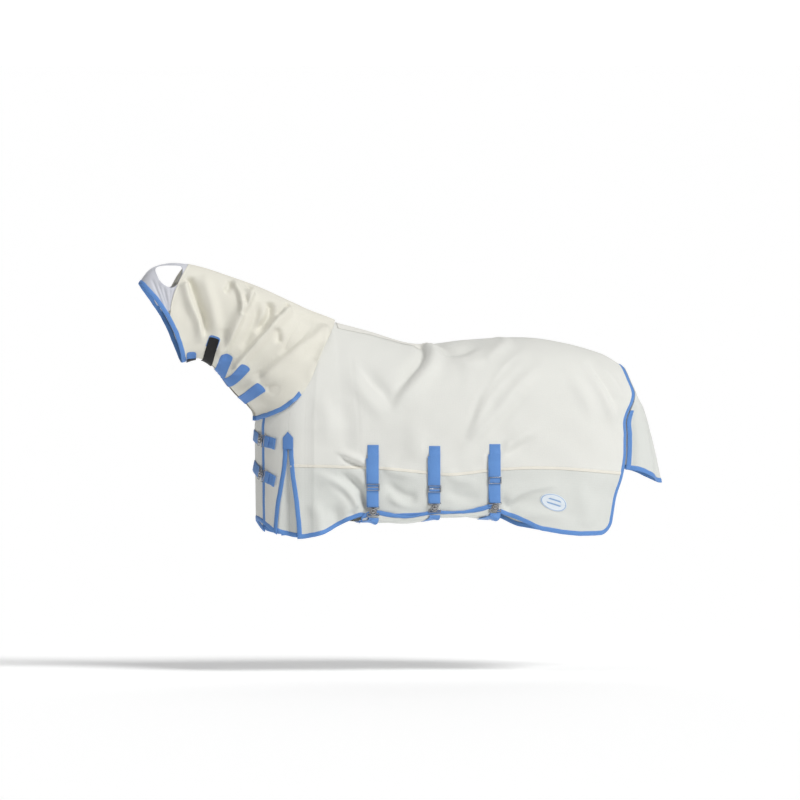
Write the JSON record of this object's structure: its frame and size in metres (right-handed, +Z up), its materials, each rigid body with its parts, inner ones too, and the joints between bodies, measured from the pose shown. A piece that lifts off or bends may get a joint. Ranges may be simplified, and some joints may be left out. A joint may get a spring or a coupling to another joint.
{
  "type": "horse fly sheet with neck cover",
  "caption": "Horse fly sheet with a neck cover, belly wrap and tail flap, bound in blue tape, with metal hook surcingles and hook-and-loop throat tabs.",
  "frame": {"origin": "on the horse's back at the withers, under the middle line of the sheet", "axes": "+X from the head to the tail, -Y the horse's near (left) side, +Z up"},
  "size_m": [2.3638, 0.6277, 1.2233],
  "materials": {
    "mesh_cloth": "matt open grid mesh",
    "neck_mesh": "matt open grid mesh, warmer cream",
    "stretch_cloth": "smooth stretch jersey",
    "seam_tape": "flat cream tape",
    "label": "woven, plain",
    "hook_tape": "black hook tape",
    "nickel": "nickel plated, bright",
    "webbing": "woven, slightly glossy",
    "binding": "folded woven tape"
  },
  "bodies": {
    "sheet": {"chest_panel_near": "mesh_cloth", "chest_panel_far": "mesh_cloth", "body_panel_near": "mesh_cloth", "body_panel_far": "mesh_cloth", "skirt_panel_near": "mesh_cloth", "skirt_panel_far": "mesh_cloth", "chest_binding_near": "binding", "chest_binding_far": "binding", "edge_binding_near": "binding", "edge_binding_far": "binding", "gusset_near": "mesh_cloth", "gusset_far": "mesh_cloth", "gusset_cap_near": "binding", "gusset_cap_far": "binding", "seam_tape_near": "seam_tape", "seam_tape_far": "seam_tape", "wither_strip": "mesh_cloth", "belly_wrap": "mesh_cloth", "wrap_binding": "binding", "surcingle_strap_1": "webbing", "slot_plate_1": "nickel", "wrap_strap_1": "webbing", "surcingle_strap_2": "webbing", "slot_plate_2": "nickel", "wrap_strap_2": "webbing", "surcingle_strap_3": "webbing", "slot_plate_3": "nickel", "wrap_strap_3": "webbing", "chest_strap_near_upper": "webbing", "chest_plate_upper": "nickel", "chest_strap_far_upper": "webbing", "chest_strap_near_lower": "webbing", "chest_plate_lower": "nickel", "chest_strap_far_lower": "webbing", "label": "label"},
    "neck_cover": {"neck_panel_near": "neck_mesh", "neck_panel_far": "neck_mesh", "poll_piece": "stretch_cloth", "face_binding": "binding", "bib_binding_near": "binding", "bib_binding_far": "binding"},
    "tail_flap_body": {"tail_flap": "mesh_cloth", "tail_binding": "binding"},
    "slider_1": {"strap_slider_1": "nickel"},
    "slider_2": {"strap_slider_2": "nickel"},
    "slider_3": {"strap_slider_3": "nickel"},
    "hook_1": {"strap_hook_1": "nickel"},
    "hook_2": {"strap_hook_2": "nickel"},
    "hook_3": {"strap_hook_3": "nickel"},
    "chest_hook_upper_body": {"chest_hook_upper": "nickel"},
    "chest_hook_lower_body": {"chest_hook_lower": "nickel"},
    "tab_1": {"throat_tab_1": "binding"},
    "tab_2": {"throat_tab_2": "hook_tape"},
    "tab_3": {"throat_tab_3": "binding"},
    "tab_4": {"throat_tab_4": "binding"},
    "tab_5": {"throat_tab_5": "binding"}
  },
  "joints": [
    {"name": "neck_raise", "type": "hinge", "parent": "sheet", "child": "neck_cover", "pos_m": [0, 0, 0], "axis": [0, 1, 0], "range_deg": [0, 12]},
    {"name": "tail_flap_lift", "type": "hinge", "parent": "sheet", "child": "tail_flap_body", "pos_m": [1.318, 0, -0.204], "axis": [0, -1, 0], "range_deg": [0, 50]},
    {"name": "slider_1_slide", "type": "slide", "parent": "sheet", "child": "slider_1", "axis": [0, -0.0181, 0.9998], "range_m": [-0.035, 0.1]},
    {"name": "slider_2_slide", "type": "slide", "parent": "sheet", "child": "slider_2", "axis": [0, -0.0207, 0.9998], "range_m": [-0.008, 0.12]},
    {"name": "slider_3_slide", "type": "slide", "parent": "sheet", "child": "slider_3", "axis": [0, -0.0207, 0.9998], "range_m": [-0.045, 0.09]},
    {"name": "hook_1_swing", "type": "hinge", "parent": "sheet", "child": "hook_1", "pos_m": [0.13883, -0.27912, -0.8142], "axis": [-0.9944, 0.1058, 0.0019], "range_deg": [0, 70]},
    {"name": "hook_2_swing", "type": "hinge", "parent": "sheet", "child": "hook_2", "pos_m": [0.41098, -0.3087, -0.79841], "axis": [-0.9987, 0.0515, 0.0011], "range_deg": [0, 70]},
    {"name": "hook_3_swing", "type": "hinge", "parent": "sheet", "child": "hook_3", "pos_m": [0.68324, -0.30882, -0.79776], "axis": [-0.9997, -0.0233, -0.0005], "range_deg": [0, 70]},
    {"name": "chest_hook_upper_swing", "type": "hinge", "parent": "sheet", "child": "chest_hook_upper_body", "pos_m": [-0.32468, -0.11399, -0.52513], "axis": [0.0664, -0.1617, 0.9846], "range_deg": [0, 70]},
    {"name": "chest_hook_lower_swing", "type": "hinge", "parent": "sheet", "child": "chest_hook_lower_body", "pos_m": [-0.32293, -0.11298, -0.68113], "axis": [0.1333, -0.2965, 0.9457], "range_deg": [0, 70]},
    {"name": "throat_tab_1_open", "type": "hinge", "parent": "neck_cover", "child": "tab_1", "pos_m": [-0.62176, -0.00685, -0.16922], "axis": [0.9861, 0.0013, 0.166], "range_deg": [0, 75]},
    {"name": "throat_tab_2_open", "type": "hinge", "parent": "neck_cover", "child": "tab_2", "pos_m": [-0.56158, -0.00748, -0.18423], "axis": [0.8314, -0.0079, -0.5556], "range_deg": [0, 65]},
    {"name": "throat_tab_3_open", "type": "hinge", "parent": "neck_cover", "child": "tab_3", "pos_m": [-0.51494, -0.00792, -0.22651], "axis": [0.641, -0.0139, -0.7675], "range_deg": [0, 60]},
    {"name": "throat_tab_4_open", "type": "hinge", "parent": "neck_cover", "child": "tab_4", "pos_m": [-0.47509, -0.00902, -0.27755], "axis": [0.6009, -0.0195, -0.7991], "range_deg": [0, 75]},
    {"name": "throat_tab_5_open", "type": "hinge", "parent": "neck_cover", "child": "tab_5", "pos_m": [-0.41679, -0.01175, -0.34173], "axis": [0.7443, -0.0465, -0.6662], "range_deg": [0, 75]}
  ]
}
